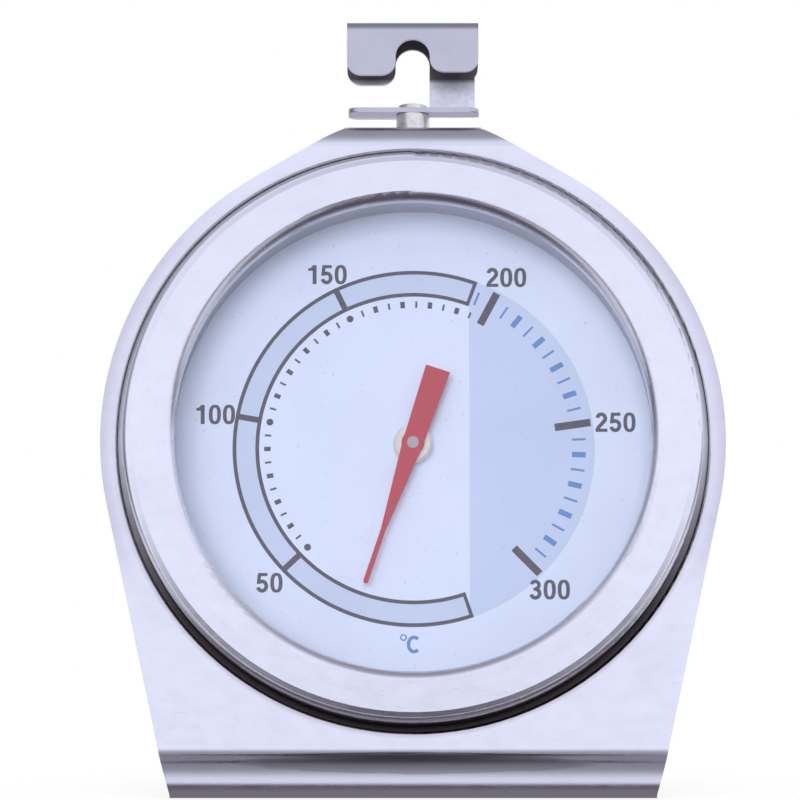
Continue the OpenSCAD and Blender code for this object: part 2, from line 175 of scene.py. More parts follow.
def around(tree, vector):
    """Coordinates that run round the dial's axis, so that their noise makes turning lines."""
    parts = add(tree, "SeparateXYZ", {"Vector": vector}).outputs
    flat = add(tree, "CombineXYZ", {"X": parts["X"], "Y": parts["Y"]}).outputs[0]
    radius = add(tree, "VectorMath", {0: flat}, operation="LENGTH").outputs["Value"]
    facing = add(tree, "VectorMath", {0: flat}, operation="NORMALIZE").outputs["Vector"]
    turned = add(tree, "SeparateXYZ", {"Vector": facing}).outputs
    depth = math_node(tree, "ADD", radius, parts["Z"])
    keys = {"X": turned["X"], "Y": turned["Y"], "Z": depth}
    return add(tree, "CombineXYZ", keys).outputs[0]


def new_material(name):
    """A material with a Principled shader, and its tree and shader."""
    material = bpy.data.materials.new(name)
    material.use_nodes = True
    tree = material.node_tree
    tree.nodes.clear()
    shader = add(tree, "BsdfPrincipled")
    output = add(tree, "OutputMaterial")
    tree.links.new(shader.outputs[0], output.inputs["Surface"])
    return material, tree, shader


def bump(tree, shader, height, distance_mm, strength=1.0):
    keys = {"Height": height, "Distance": distance_mm * MM, "Strength": strength}
    tree.links.new(add(tree, "Bump", keys).outputs[0], shader.inputs["Normal"])


# ---------------------------------------------------------------- finishes

WARM_STAIN = (0.62, 0.56, 0.52)
# Tones of painted shade, painted shadow and a painted dark reflection on the stand, bezel and hook
PAINTED_SHADE_TONE = (0.115, 0.085, 0.075)
PALE_PAINTED_SHADE = (0.26, 0.22, 0.24)
HALO_PAINTED_SHADOW = (0.30, 0.25, 0.23)
DARK_REFLECTION_TONE = (0.30, 0.27, 0.28)
RIM_PAINTED_SHADE = (0.48, 0.46, 0.50)
TOE_PAINTED_SHADE = (0.56, 0.55, 0.58)
FOLD_PAINTED_SHADE = (0.20, 0.17, 0.17)
PAINTED_SHADE_ROUGH = 0.5
REFLECTION_ROUGH = 0.42


def from_axis(tree, parts):
    """Distance from the dial's axis, for a separated point of the dial frame."""
    flat = add(tree, "CombineXYZ", {"X": parts["X"], "Y": parts["Y"]}).outputs[0]
    return add(tree, "VectorMath", {0: flat}, operation="LENGTH").outputs["Value"]


def mix_value(tree, factor, a, b):
    return add(tree, "Mix", {0: factor, 2: a, 3: b}, data_type="FLOAT").outputs[0]


def product(tree, first, *others):
    """All of these masks multiplied."""
    for other in others:
        first = math_node(tree, "MULTIPLY", first, other)
    return first


def shade_by_height(tree, parts):
    """Painted shade is strongest at the bottom of the dial's rim, and thin at its sides and top."""
    return remap(tree, parts["Y"], 0, -18, 0.2, 0.95)


def stand_painted_shade_and_reflection(tree, place, tone, rough):
    """Painted shade in the groove round the bezel, a painted shadow beside it, painted shade on the
    plate's rim and on the toe, and a painted dark reflection below the crease.
    """
    parts = add(tree, "SeparateXYZ", {"Vector": place}).outputs
    radius = from_axis(tree, parts)
    low = shade_by_height(tree, parts)
    # Painted shade in the groove round the bezel: warm, darkest at the bottom, paler at its outer
    # edge
    within = remap(tree, radius, GROOVE_R + 0.15, GROOVE_R, 0, 1)
    sunk = remap(tree, parts["Z"], -0.1, -0.35, 0, 1)
    above = remap(tree, parts["Z"], GROOVE_FLOOR - 0.25, GROOVE_FLOOR - 0.1, 0, 1)
    painted_shade = product(tree, within, sunk, above, low)
    paler = remap(tree, radius, GROOVE_R - 0.55, GROOVE_R, 0, 1)
    tone = mix_colour(tree, painted_shade, tone, mix_colour(tree, paler, PAINTED_SHADE_TONE, PALE_PAINTED_SHADE))
    rough = mix_value(tree, painted_shade, rough, PAINTED_SHADE_ROUGH)

    # Painted soft shadow on the plate face just outside the groove, strongest at the bottom
    face = remap(tree, parts["Z"], -0.3, -0.2, 0, 1)
    halo_shadow = product(tree, remap(tree, radius, GROOVE_R + SHADOW_HALO_WIDTH, GROOVE_R, 0, 0.55), face, low)
    tone = mix_colour(tree, halo_shadow, tone, HALO_PAINTED_SHADOW)

    # Painted shade darkening the plate's outer rim, at its sides only
    not_low = remap(tree, parts["Y"], -16, -8, 0, 1)
    not_high = remap(tree, parts["Y"], 26, 18, 0, 1)
    rim = remap(tree, radius, PLATE_R - RIM_SHADE_WIDTH, PLATE_R, 0, 0.55)
    tone = mix_colour(tree, product(tree, rim, not_low, not_high), tone, RIM_PAINTED_SHADE)

    # Painted shade on the toe below the crease, which dims its mirrored bright band
    toe_shade = remap(tree, parts["Y"], CREASE_U + 0.2, CREASE_U - 0.3, 0, 1)
    tone = mix_colour(tree, math_node(tree, "MULTIPLY", toe_shade, 0.55), tone, TOE_PAINTED_SHADE)

    # Painted dark reflection: an oval just below the crease on the foot's front, with a duller
    # finish
    along = math_node(tree, "DIVIDE", parts["X"], REFLECTION_HALF_LENGTH)
    offset = math_node(tree, "ADD", parts["Y"], REFLECTION_DROP - CREASE_U)
    down = math_node(tree, "DIVIDE", offset, REFLECTION_HALF_HEIGHT)
    grain = noise(tree, stretched(tree, place, (0.3, 1, 1)), 0.8, 3, 0.5)
    reach = math_node(
        tree,
        "ADD",
        math_node(tree, "POWER", along, 2.0),
        math_node(tree, "POWER", down, 2.0),
    )
    reach = math_node(tree, "ADD", reach, remap(tree, grain, 0.3, 0.7, -0.15, 0.15))
    front = remap(tree, parts["Z"], -1, 0, 0, 1)
    dark_reflection = product(tree, remap(tree, reach, 1.05, 0.75, 0, 0.6), front)
    dull = remap(tree, dark_reflection, 0, 0.3, 0, 1)
    return mix_colour(tree, dark_reflection, tone, DARK_REFLECTION_TONE), mix_value(tree, dull, rough, REFLECTION_ROUGH)


def bezel_painted_shade(tree, place, tone, rough):
    """Painted shade on the bezel's outer wall, below its corner, strongest at the bottom."""
    parts = add(tree, "SeparateXYZ", {"Vector": place}).outputs
    wall = remap(tree, from_axis(tree, parts), BEZEL_R - 0.07, BEZEL_R - 0.02, 0, 1)
    low = remap(tree, parts["Z"], 2.0, 1.4, 0, 1)
    painted_shade = product(tree, wall, low, shade_by_height(tree, parts))
    return mix_colour(tree, painted_shade, tone, PAINTED_SHADE_TONE), mix_value(tree, painted_shade, rough, PAINTED_SHADE_ROUGH)


def mill_finish_and_painted_light(tree, place, tone, rough):
    """The unpolished, rougher inner side of the hook's back leg, made pale as painted light on the
    web, with painted shade in the fold.
    """
    parts = add(tree, "SeparateXYZ", {"Vector": place}).outputs
    back = remap(tree, parts["Z"], HOOK_BACK + 0.9, HOOK_BACK + 0.7, 0, 1)
    front = remap(tree, parts["Z"], HOOK_BACK + 0.15, HOOK_BACK + 0.3, 0, 1)
    inner = product(tree, back, front)
    mottle = noise(tree, place, 1.6, 4, 0.7)
    spots = remap(tree, mottle, 0.35, 0.65, 0, 1)
    # Painted light: the inner face's steel made much paler, in mottled spots
    pale = mix_colour(tree, spots, (0.97, 0.97, 1.0), (0.84, 0.83, 0.86))
    # Painted shade in the fold at the top of the hook, between the legs
    fold = remap(tree, parts["Y"], FOLD_U, FOLD_U + 0.5, 0, 1)
    face = mix_colour(tree, fold, pale, FOLD_PAINTED_SHADE)
    duller = remap(tree, mottle, 0.3, 0.7, 0.40, 0.50)
    return mix_colour(tree, inner, tone, face), mix_value(tree, inner, rough, duller)


def steel(name, colour, rough, turned=False, grain=0.5, wear=0.5, stain=WARM_STAIN, zone=None):
    """Satin steel: fine grain, cloudy roughness, faint smudges, and sparse handling scratches.

    A zone takes (tree, place, tone, rough) and returns the tone and roughness with its painted
    light, shade and reflection.
    """
    material, tree, shader = new_material(name)
    place = dial_mm(tree)
    if turned:
        lines = stretched(tree, around(tree, place), (1.6, 1.6, 9))
    else:
        lines = stretched(tree, place, (0.35, 9, 9))
    fine = noise(tree, lines, 2.2, 4, 0.6)
    speckle = noise(tree, place, 7, 2, 0.6)
    cloud = noise(tree, place, 0.16, 4, 0.55)
    patch = noise(tree, stretched(tree, place, (1, 1.7, 1)), 0.42, 3, 0.6)
    sweep = stretched(tree, place, (0.22, 3.1, 1.3))
    tilted = add(tree, "Mapping", {"Vector": place, "Rotation": (0, 0, 0.6)}).outputs[0]
    across = stretched(tree, tilted, (0.35, 4.3, 1.7))
    nicks = ramp(tree, noise(tree, sweep, 1.3, 2, 0.35), [(0.73, 0), (0.76, 1)])
    scores = ramp(tree, noise(tree, across, 1.0, 1, 0.3), [(0.76, 0), (0.78, 1)])
    marked = math_node(tree, "ADD", nicks, scores, clamp=True)
    sparse = ramp(tree, noise(tree, place, 0.3, 1, 0.5), [(0.48, 0), (0.62, 1)])
    scratches = product(tree, marked, sparse, wear)

    tone = mix_colour(tree, remap(tree, fine, 0.35, 0.65, 0.0, 0.10 * grain), colour, stain)
    dull = [c * 0.93 for c in colour]
    smudge = remap(tree, cloud, 0.45, 0.7, 0.0, 0.55)
    tone = mix_colour(tree, smudge, tone, dull)
    tone = mix_colour(tree, math_node(tree, "MULTIPLY", scratches, 0.35), tone, stain)

    grainy = remap(tree, fine, 0.3, 0.7, -0.03 * grain, 0.03 * grain)
    cloudy = remap(tree, patch, 0.3, 0.7, rough - 0.02, rough + 0.03)
    uneven = math_node(tree, "ADD", grainy, cloudy)
    uneven = math_node(tree, "ADD", uneven, math_node(tree, "MULTIPLY", scratches, 0.10))
    if zone:
        tone, uneven = zone(tree, place, tone, uneven)
    tree.links.new(tone, shader.inputs["Base Color"])
    tree.links.new(uneven, shader.inputs["Roughness"])
    shader.inputs["Metallic"].default_value = 1.0

    height = math_node(tree, "MULTIPLY", fine, 0.35 * grain)
    height = math_node(tree, "ADD", height, math_node(tree, "MULTIPLY", speckle, 0.25))
    height = math_node(tree, "SUBTRACT", height, math_node(tree, "MULTIPLY", scratches, 0.8))
    bump(tree, shader, height, 0.0018)
    return material


def turned_brass(name, colour, rough, tarnish, patchy=0.5, metallic=1.0):
    """Brass or nickelled brass with turning lines and darker tarnish in patches."""
    material, tree, shader = new_material(name)
    place = dial_mm(tree)
    rings = noise(tree, stretched(tree, around(tree, place), (0.8, 0.8, 11)), 1.6, 3, 0.6)
    streaks = noise(tree, stretched(tree, place, (7, 0.5, 7)), 1.1, 3, 0.6)
    blotch = noise(tree, place, 0.9, 4, 0.65)
    tone = mix_colour(tree, remap(tree, blotch, 0.42, 0.66, 0.0, patchy), colour, tarnish)
    tone = mix_colour(tree, remap(tree, streaks, 0.5, 0.75, 0.0, 0.35), tone, tarnish)
    tree.links.new(tone, shader.inputs["Base Color"])
    uneven = remap(tree, rings, 0.3, 0.7, rough - 0.05, rough + 0.08)
    tree.links.new(uneven, shader.inputs["Roughness"])
    shader.inputs["Metallic"].default_value = metallic
    bump(tree, shader, rings, 0.008)
    return material


def enamel(name, colour, rough=0.42):
    """Baked enamel or printing ink: a hair of orange peel and a little dust."""
    material, tree, shader = new_material(name)
    place = dial_mm(tree)
    peel = noise(tree, place, 2.4, 3, 0.5)
    cloud = noise(tree, place, 0.12, 2, 0.5)
    dust = ramp(tree, noise(tree, place, 3.3, 0, 0.5), [(0.80, 0), (0.84, 1)])
    shade = [c * 0.94 for c in colour]
    tone = mix_colour(tree, remap(tree, cloud, 0.4, 0.65, 0.0, 0.6), colour, shade)
    tone = mix_colour(tree, math_node(tree, "MULTIPLY", dust, 0.3), tone, (0.36, 0.35, 0.38))
    tree.links.new(tone, shader.inputs["Base Color"])
    uneven = remap(tree, peel, 0.3, 0.7, rough - 0.05, rough + 0.07)
    tree.links.new(uneven, shader.inputs["Roughness"])
    bump(tree, shader, peel, 0.004)
    return material


def needle_paint(name, colour, chip):
    """Sprayed matte paint, rubbed in patches."""
    material, tree, shader = new_material(name)
    place = dial_mm(tree)
    spray = noise(tree, place, 5, 3, 0.6)
    rub = noise(tree, place, 1.4, 4, 0.7)
    tone = mix_colour(tree, remap(tree, rub, 0.55, 0.8, 0.0, 0.5), colour, chip)
    tree.links.new(tone, shader.inputs["Base Color"])
    tree.links.new(remap(tree, spray, 0.3, 0.7, 0.50, 0.62), shader.inputs["Roughness"])
    shader.inputs["Specular IOR Level"].default_value = 0.25
    bump(tree, shader, spray, 0.006)
    return material


def silicone(name, colour):
    material, tree, shader = new_material(name)
    grain = noise(tree, dial_mm(tree), 3, 4, 0.6)
    dark = [c * 0.85 for c in colour]
    tree.links.new(mix_colour(tree, grain, colour, dark), shader.inputs["Base Color"])
    tree.links.new(remap(tree, grain, 0.3, 0.7, 0.6, 0.75), shader.inputs["Roughness"])
    bump(tree, shader, grain, 0.01)
    return material


def bimetal(name):
    """Rolled strip: a steel grey face with a warm alloy showing in long patches."""
    material, tree, shader = new_material(name)
    place = dial_mm(tree)
    patch = noise(tree, stretched(tree, place, (1, 1, 0.3)), 0.8, 3, 0.6)
    lines = noise(tree, stretched(tree, place, (2, 2, 14)), 1.3, 3, 0.6)
    warm, grey = (0.50, 0.42, 0.32), (0.42, 0.41, 0.42)
    tone = mix_colour(tree, remap(tree, patch, 0.4, 0.62, 0, 1), warm, grey)
    tree.links.new(tone, shader.inputs["Base Color"])
    tree.links.new(remap(tree, lines, 0.3, 0.7, 0.28, 0.42), shader.inputs["Roughness"])
    shader.inputs["Metallic"].default_value = 1.0
    bump(tree, shader, lines, 0.006)
    return material


def lens_glass(name):
    """Clear flat glass that lets the lamps reach the dial, with faint wiping marks."""
    material, tree, shader = new_material(name)
    place = dial_mm(tree)
    wipes = noise(tree, stretched(tree, place, (0.5, 3, 1)), 0.5, 3, 0.6)
    shader.inputs["Base Color"].default_value = (0.985, 0.992, 1.0, 1)
    shader.inputs["Transmission Weight"].default_value = 1.0
    shader.inputs["IOR"].default_value = 1.5
    tree.links.new(remap(tree, wipes, 0.4, 0.8, 0.0, 0.035), shader.inputs["Roughness"])
    clear = add(tree, "BsdfTransparent", {"Color": (0.93, 0.94, 0.95, 1)})
    lamp = add(tree, "LightPath").outputs["Is Shadow Ray"]
    both = add(tree, "MixShader", {0: lamp, 1: shader.outputs[0], 2: clear.outputs[0]})
    output = next(n for n in tree.nodes if n.type == "OUTPUT_MATERIAL")
    tree.links.new(both.outputs[0], output.inputs["Surface"])
    return material


STAND_STEEL = steel("stand_steel_satin", (0.80, 0.80, 0.82), 0.24, zone=stand_painted_shade_and_reflection)
BEZEL_STEEL = steel(
    "bezel_steel_satin", (0.83, 0.83, 0.85), 0.25, turned=True, wear=0.25, zone=bezel_painted_shade
)
HOOK_STEEL = steel("hook_steel_satin", (0.57, 0.57, 0.60), 0.30, wear=0.9, zone=mill_finish_and_painted_light)
CASE_STEEL = steel("case_steel_drawn", (0.60, 0.60, 0.62), 0.28, turned=True, grain=1.4, wear=0.7)
SPRING_STEEL = steel("spring_steel_grey", (0.42, 0.42, 0.45), 0.36, turned=True, grain=1.2)
SPACER_STEEL = steel("spacer_steel_dull", (0.56, 0.54, 0.57), 0.45, turned=True)
ZINC = steel("zinc_plate_bright", (0.66, 0.67, 0.70), 0.36, grain=0.8, stain=(0.5, 0.5, 0.46))
BRASS = turned_brass("brass_dull", (0.66, 0.63, 0.57), 0.36, (0.50, 0.46, 0.38))
BUSH = turned_brass("bush_zinc_matte", (0.95, 0.89, 0.79), 0.42, (0.80, 0.73, 0.60), metallic=0.4)
SHAFT = turned_brass("shaft_nickel_dull", (0.56, 0.50, 0.48), 0.36, (0.46, 0.41, 0.34))
NICKEL = turned_brass("nickel_worn", (0.78, 0.76, 0.74), 0.22, (0.62, 0.54, 0.36), 0.7)
DIAL = enamel("dial_enamel", (0.82, 0.86, 1.0))
ZONE = enamel("print_zone", (0.64, 0.70, 0.88))
BAND = enamel("print_band", (0.65, 0.70, 0.86))
INK = enamel("print_ink", (0.07, 0.06, 0.075), 0.5)
BLUE = enamel("print_blue", (0.11, 0.27, 0.56), 0.5)
RED = needle_paint("needle_red", (0.54, 0.042, 0.055), (0.54, 0.07, 0.09))
GASKET = silicone("gasket_silicone", (0.70, 0.68, 0.66))
COIL = bimetal("bimetal_strip")
GLASS = lens_glass("lens_clear")

FINISHES = {
    "stand_frame": STAND_STEEL,
    "bezel_ring": BEZEL_STEEL,
    "lens": GLASS,
    "lens_gasket": GASKET,
    "spacer_ring": SPACER_STEEL,
    "dial_plate": DIAL,
    "case_cup": CASE_STEEL,
    "retaining_ring": SPRING_STEEL,
    "coil_housing": CASE_STEEL,
    "housing_rivets": ZINC,
    "front_bush": BUSH,
    "bush_nut": BRASS,
    "rear_bush": BRASS,
    "bimetal_coil": COIL,
    "coil_anchor": BRASS,
    "coil_hub": BRASS,
    "pointer_shaft": SHAFT,
    "pointer": RED,
    "hook_bracket": HOOK_STEEL,
    "hook_rivet": NICKEL,
    "rivet_washer": ZINC,
}


def finish_cad_nodes():
    for name, material in FINISHES.items():
        mesh = frame["nodes"][name].data
        mesh.materials.clear()
        mesh.materials.append(material)


# ---------------------------------------------------------------- softened sheet metal


def soften(node, name, width_mm):
    """A copy of a CAD node with its cut edges rounded, which stands for the node."""
    piece = bpy.data.objects.new(name, bpy.data.meshes.new(name))
    bpy.context.scene.collection.objects.link(piece)
    shape = bmesh.new()
    shape.from_mesh(frame["nodes"][node].data)
    bmesh.ops.remove_doubles(shape, verts=shape.verts, dist=0.0005 * MM)
    flat = math.radians(0.2)
    bmesh.ops.dissolve_limit(shape, angle_limit=flat, verts=shape.verts, edges=shape.edges)
    sharp = math.radians(50)
    cut = [e for e in shape.edges if len(e.link_faces) == 2 and e.calc_face_angle() > sharp]
    bmesh.ops.bevel(
        shape,
        geom=cut,
        offset=width_mm * MM,
        offset_type="OFFSET",
        segments=2,
        profile=0.5,
        affect="EDGES",
        clamp_overlap=True,
    )
    for face in shape.faces:
        face.smooth = True
    shape.to_mesh(piece.data)
    shape.free()
    piece.data.set_sharp_from_angle(angle=math.radians(38))
    piece.data.materials.append(FINISHES[node])
    normals = piece.modifiers.new("even_normals", "WEIGHTED_NORMAL")
    normals.keep_sharp = True
    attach(piece, frame["nodes"][node]["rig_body"])
    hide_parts(node)


# ---------------------------------------------------------------- printed dial

# Scale, in millimetres and degrees of angle round the print's centre, counter-clockwise from X
PRINT_X = 0.1
PRINT_U = -0.25
ZERO_ANGLE = 277.5
DEGREE = -1.077
BAND_IN, BAND_OUT = 15.8, 18.1
BAND_START, BAND_END = 69.2, 289.2
LINE = 0.38
ZONE_CHORD, ZONE_R = 5.6, 18.25
SMALL_R, SMALL_LENGTH, SMALL_WIDTHS = 14.77, 0.65, (0.2, 0.45)
BAR_R, BAR_LENGTH, BAR_WIDTH = 16.2, 3.65, 0.77
BLUE_R, BLUE_LENGTH, BLUE_WIDTHS = 16.65, 1.4, (0.22, 0.55)
CROSSING_WIDTH = 0.6
DOT_SIZE = 0.7
DIGIT_H, DIGIT_PITCH = 1.97, 0.72
UNIT_H = 1.8
INK_LOW, INK_HIGH, TINT_HIGH = -0.004, 0.02, 0.01
NUMERALS = [
    ("50", -14.5, -13.8),
    ("100", -20.1, 3.4),
    ("150", -8.85, 17.9),
    ("200", 9.4, 17.6),
    ("250", 20.35, 2.6),
    ("300", 13.6, -14.5),
]


def angle_of(degrees_c):
    return ZERO_ANGLE + DEGREE * degrees_c


def polar(radius, degrees):
    a = math.radians(degrees)
    return (radius * math.cos(a), radius * math.sin(a))


def arc(radius, start, end, step=1.5):
    count = max(2, math.ceil(abs(end - start) / step))
    return [polar(radius, start + (end - start) * i / count) for i in range(count + 1)]


def sector(r_in, r_out, start, end):
    return arc(r_out, start, end) + arc(r_in, end, start)


def tick(degrees, radius, length, width):
    """A bar across the scale, as long and as wide as given, at an angle."""
    (cx, cy), (dx, dy) = polar(radius, degrees), polar(1, degrees)
    corners = []
    for i, j in ((-1, -1), (1, -1), (1, 1), (-1, 1)):
        x = cx + i * dx * length / 2 - j * dy * width / 2
        y = cy + i * dy * length / 2 + j * dx * width / 2
        corners.append((x, y))
    return corners


def dot(degrees, radius, diameter):
    cx, cy = polar(radius, degrees)
    return [(cx + x, cy + y) for x, y in arc(diameter / 2, 0, 345, 15)]


def ccw(loop):
    area = sum(a[0] * b[1] - b[0] * a[1] for a, b in zip(loop, loop[1:] + loop[:1]))
    return loop if area > 0 else loop[::-1]


def cut_out(adds, cuts=(), overs=()):
    """Triangles that cover adds less cuts, and overs in any case, as (points, triangles)."""
    loops = [ccw(list(loop)) for loop in (*adds, *cuts, *overs)]
    points, faces = [], []
    for loop in loops:
        faces.append(list(range(len(points), len(points) + len(loop))))
        points.extend(Vector(p) for p in loop)
    made = delaunay_2d_cdt(points, [], faces, 0, 1e-5)
    first_cut, first_over = len(adds), len(adds) + len(cuts)

    def shown(inside):
        cut = any(first_cut <= i < first_over for i in inside)
        over = any(i >= first_over for i in inside)
        return over or (not cut and any(i < first_cut for i in inside))

    return made[0], [t for t, inside in zip(made[2], made[5]) if shown(inside)]


def printed(name, shapes, material, high=INK_HIGH):
    """A closed, very thin layer of ink on the dial, from triangles round the print's centre."""
    points, triangles = shapes
    used = sorted({i for t in triangles for i in t})
    order = {old: new for new, old in enumerate(used)}
    spots = [(points[i][0] + PRINT_X, points[i][1] + PRINT_U) for i in used]
    vertices = [dial_point(x, u, DIAL_FACE + n) for n in (INK_LOW, high) for x, u in spots]
    top = len(used)
    faces = []
    edges = {}
    for triangle in triangles:
        a, b, c = (order[i] for i in triangle)
        faces.append((a + top, b + top, c + top))
        faces.append((c, b, a))
        for edge in ((a, b), (b, c), (c, a)):
            edges[edge] = True
    faces += [(a, b, b + top, a + top) for a, b in edges if (b, a) not in edges]
    mesh = bpy.data.meshes.new(name)
    mesh.from_pydata(vertices, [], faces)
    mesh.materials.append(material)
    piece = bpy.data.objects.new(name, mesh)
    bpy.context.scene.collection.objects.link(piece)
    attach(piece, "stand")


def ellipse_arc(cx, cy, rx, ry, start, end, step=12):
    count = math.ceil(abs(end - start) / step)
    angles = [math.radians(start + (end - start) * i / count) for i in range(count + 1)]
    return [(cx + rx * math.cos(a), cy + ry * math.sin(a)) for a in angles]


def stroke(path, width):
    """The outline of a pen line of one width along a smooth path, with square ends."""
    left, right = [], []
    for i, (x, y) in enumerate(path):
        before, after = path[max(i - 1, 0)], path[min(i + 1, len(path) - 1)]
        dx, dy = after[0] - before[0], after[1] - before[1]
        size = math.hypot(dx, dy)
        nx, ny = -dy / size * width / 2, dx / size * width / 2
        left.append((x + nx, y + ny))
        right.append((x - nx, y - ny))
    return left + right[::-1]


def box(x0, y0, x1, y1):
    return [(x0, y0), (x1, y0), (x1, y1), (x0, y1)]


def oval(cx, cy, rx, ry, power=2.5):
    """A rounded oval, squarer than an ellipse, as numerals have."""
    points = []
    for i in range(40):
        a = math.tau * i / 40
        c, s = math.cos(a), math.sin(a)
        x = math.copysign(abs(c) ** (2 / power), c)
        y = math.copysign(abs(s) ** (2 / power), s)
        points.append((cx + rx * x, cy + ry * y))
    return points


def digit(character):
    """One bold numeral of height 1 in a cell DIGIT_PITCH wide, as (adds, cuts)."""
    pen = 0.19
    thin = 0.155
    if character == "0":
        return [oval(0.36, 0.5, 0.31, 0.51)], [oval(0.36, 0.5, 0.31 - pen, 0.51 - thin)]
    if character == "1":
        flag = [(0.125, 0.70), (0.125, 0.83), (0.26, 0.86), (0.37, 1.0), (0.45, 1.0), (0.45, 0.70)]
        return [box(0.355, 0, 0.555, 1), flag], []
    if character == "2":
        hook = ellipse_arc(0.36, 0.70, 0.205, 0.22, 172, -28)
        slope = hook + [(0.46, 0.50), (0.34, 0.37), (0.22, 0.25), (0.155, 0.13), (0.14, 0.06)]
        return [stroke(slope, pen), box(0.06, 0, 0.665, 0.165)], []
    if character == "3":
        upper = ellipse_arc(0.35, 0.735, 0.185, 0.19, 168, -90)
        lower = ellipse_arc(0.35, 0.30, 0.215, 0.225, 90, -168)
        return [stroke(upper, pen * 0.95), stroke(lower, pen), box(0.25, 0.455, 0.37, 0.60)], []
    bowl = ellipse_arc(0.35, 0.325, 0.215, 0.245, 128, -165)
    back = [(0.14, 1.0), (0.32, 1.0), (0.245, 0.44), (0.075, 0.44)]
    return [stroke(bowl, pen), box(0.14, 0.84, 0.62, 1.0), back], []


def numeral(text, x, u):
    """All outlines of a number that is centred on a point, as (adds, cuts)."""
    width = DIGIT_PITCH * len(text)
    adds, cuts = [], []
    for i, character in enumerate(text):
        left = i * DIGIT_PITCH - width / 2
        for found, kept in zip(digit(character), (adds, cuts)):
            for loop in found:
                placed = [(x + (px + left) * DIGIT_H, u + (py - 0.5) * DIGIT_H) for px, py in loop]
                kept.append(placed)
    return adds, cuts


def print_dial():
    half = LINE / 2
    cap = math.degrees(LINE / BAND_OUT)
    outer = sector(BAND_IN - half, BAND_OUT + half, BAND_START, BAND_END)
    inner = sector(BAND_IN + half, BAND_OUT - half, BAND_START + cap, BAND_END - cap)
    middle = (BAND_IN + BAND_OUT) / 2
    depth = BAND_OUT - BAND_IN
    crossings = [tick(angle_of(c), middle, depth, CROSSING_WIDTH) for c in (50, 100, 150)]
    printed("dial_band", cut_out([outer], [inner], crossings), INK)

    tint = sector(BAND_IN, BAND_OUT, BAND_START + cap / 2, BAND_END - cap / 2)
    printed("dial_band_tint", cut_out([tint]), BAND, TINT_HIGH)

    reach = math.degrees(math.acos(ZONE_CHORD / ZONE_R))
    printed("dial_zone", cut_out([arc(ZONE_R, -reach, reach)], [outer]), ZONE, TINT_HIGH)

    small = [
        tick(angle_of(c), SMALL_R, SMALL_LENGTH, SMALL_WIDTHS[c % 10 == 0])
        for c in range(55, 200, 5)
        if c % 50
    ]
    dots = [dot(angle_of(c), SMALL_R, DOT_SIZE) for c in (50, 100, 150)]
    bars = [tick(angle_of(c), BAR_R, BAR_LENGTH, BAR_WIDTH) for c in (200, 250, 300)]
    printed("dial_scale", cut_out(small + dots + bars), INK)

    blue = [
        tick(angle_of(c), BLUE_R, BLUE_LENGTH, BLUE_WIDTHS[c % 10 == 0])
        for c in (195, *range(205, 300, 5))
        if c % 50
    ]
    printed("dial_scale_blue", cut_out(blue), BLUE)

    adds, cuts = [], []
    for text, x, u in NUMERALS:
        more, less = numeral(text, x, u)
        adds += more
        cuts += less
    printed("dial_numerals", cut_out(adds, cuts), INK)

    ring_x, ring_u, ring_r, ring_pen = -1.05, -19.35, 0.28, 0.14
    unit_u, unit_r, pen = -20.05, 0.72, 0.34
    letter = ellipse_arc(0, unit_u, unit_r - pen / 2, (UNIT_H - pen) / 2, 46, 314, 8)
    ring_out = [(ring_x + x, ring_u + y) for x, y in arc(ring_r + ring_pen / 2, 0, 345, 15)]
    ring_in = [(ring_x + x, ring_u + y) for x, y in arc(ring_r - ring_pen / 2, 0, 345, 15)]
    printed("dial_unit", cut_out([stroke(letter, pen), ring_out], [ring_in]), BLUE)


# ---------------------------------------------------------------- stage


def build_camera():
    """Level with the dial's middle and square to the stand, as the thermometer is shown."""
    data = bpy.data.cameras.new("camera")
    data.lens, data.sensor_width = 200.5, 36
    data.clip_start, data.clip_end = 0.02, 20
    camera = bpy.data.objects.new("camera", data)
    camera.location = (-1.3 * MM, -453.88 * MM, 39.06 * MM)
    camera.rotation_euler = (math.radians(90), 0, 0)
    bpy.context.scene.collection.objects.link(camera)
    bpy.context.scene.camera = camera


